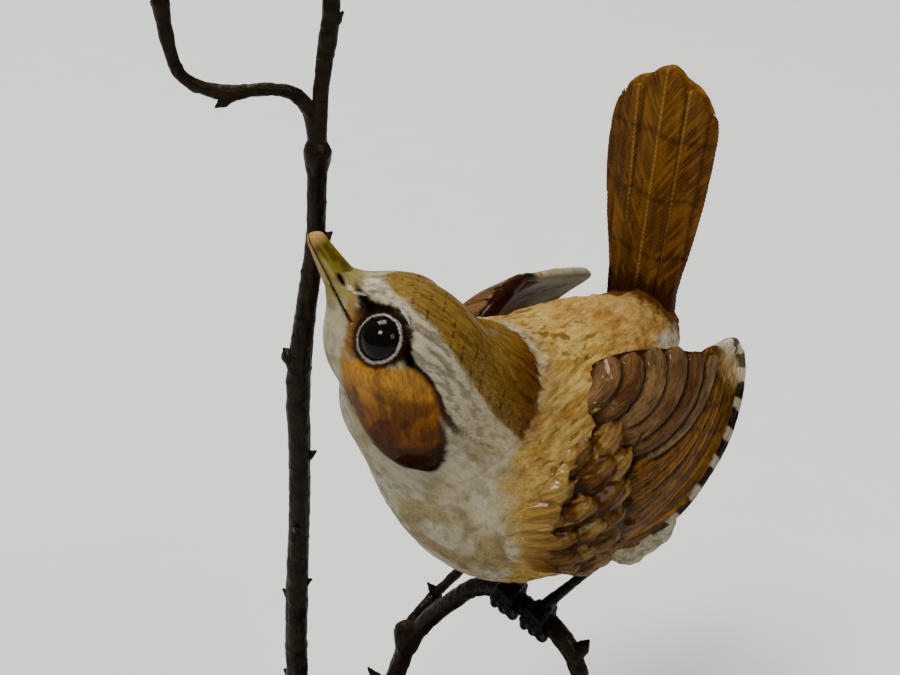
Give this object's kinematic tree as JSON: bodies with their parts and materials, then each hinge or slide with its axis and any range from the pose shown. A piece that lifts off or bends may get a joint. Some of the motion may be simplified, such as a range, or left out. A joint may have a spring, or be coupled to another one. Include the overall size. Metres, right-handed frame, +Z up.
{
  "type": "porcelain figurine",
  "caption": "Painted porcelain songbird with a cocked tail, perched on patinated bronze twigs that rise from a cast bronze ground on a turned wooden plinth.",
  "frame": {"origin": "centre of the felt pad's underside, on the surface that the figurine stands on", "axes": "+Z up; +X to the viewer's right and +Y away from the viewer, seen from the bird's front left side"},
  "size_m": [0.108, 0.1, 0.216],
  "materials": {
    "plinth_wood": "satin varnish",
    "felt": "felt",
    "steel": "zinc plated",
    "patinated_bronze": "dark brown patina, waxed",
    "dark_bronze": "black patina, waxed",
    "body_porcelain": "hand painted, satin glaze",
    "head_porcelain": "hand painted, satin glaze",
    "bill_porcelain": "hand painted, satin glaze",
    "wing_porcelain": "hand painted, satin glaze",
    "tail_porcelain": "hand painted, satin glaze",
    "plaster": "unglazed plaster",
    "eye_glass": "polished black"
  },
  "bodies": {
    "root": {"plinth": "plinth_wood", "felt_pad": "felt", "fixing_screws": "steel", "screw_washers": "steel", "bronze_ground": "patinated_bronze", "main_stem": "patinated_bronze", "upper_stem": "patinated_bronze", "side_branch": "patinated_bronze", "stem_buds": "patinated_bronze", "perch_branch": "patinated_bronze", "perch_tip": "patinated_bronze", "back_twig": "patinated_bronze", "perch_buds": "patinated_bronze", "torso_shell": "body_porcelain", "anchor_plug": "plaster", "head_shell": "head_porcelain", "upper_bill": "bill_porcelain", "lower_bill": "bill_porcelain", "left_eye": "eye_glass", "right_eye": "eye_glass", "left_wing": "wing_porcelain", "right_wing": "wing_porcelain", "tail": "tail_porcelain", "left_leg": "dark_bronze", "right_leg": "dark_bronze", "left_front_toes": "dark_bronze", "left_hind_toe": "dark_bronze", "right_front_toes": "dark_bronze", "right_hind_toe": "dark_bronze", "left_claws": "dark_bronze", "right_claws": "dark_bronze"}
  },
  "joints": []
}
